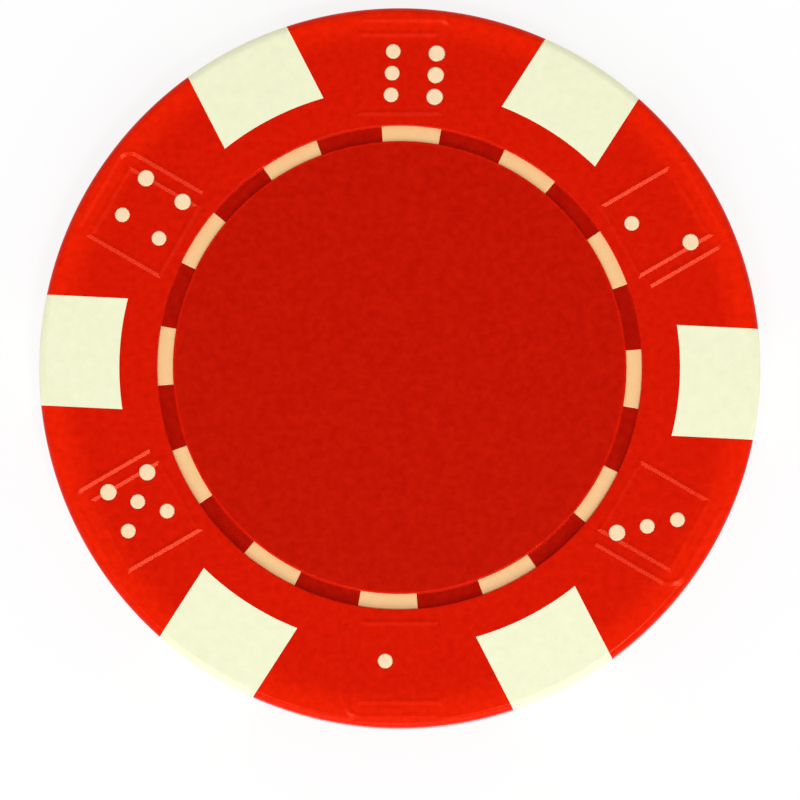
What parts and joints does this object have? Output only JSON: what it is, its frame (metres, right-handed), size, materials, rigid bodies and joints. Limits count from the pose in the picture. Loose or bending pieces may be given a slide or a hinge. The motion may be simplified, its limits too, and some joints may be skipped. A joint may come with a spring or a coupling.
{
  "type": "poker chip",
  "caption": "Flat round poker chip with a red body, white edge spots and dashes, and dice moulded round the rim, weighted by a steel slug sealed inside.",
  "frame": {"origin": "centre of the chip's round outline, on the plane of its lowest points, which are the raised die outlines of the back face", "axes": "+Z along the chip's axis, out of the front face; +Y towards the die outline that frames six pips; +X to the right of it seen from the front"},
  "size_m": [0.039, 0.039, 0.0034],
  "materials": {
    "slug_steel": "blanked and tumbled steel",
    "white_plastic": "warm white moulded ABS, satin",
    "red_plastic": "bright red moulded ABS, satin with a fine grain"
  },
  "bodies": {
    "root": {"steel_slug": "slug_steel", "white_core": "white_plastic", "red_body": "red_plastic"}
  },
  "joints": []
}
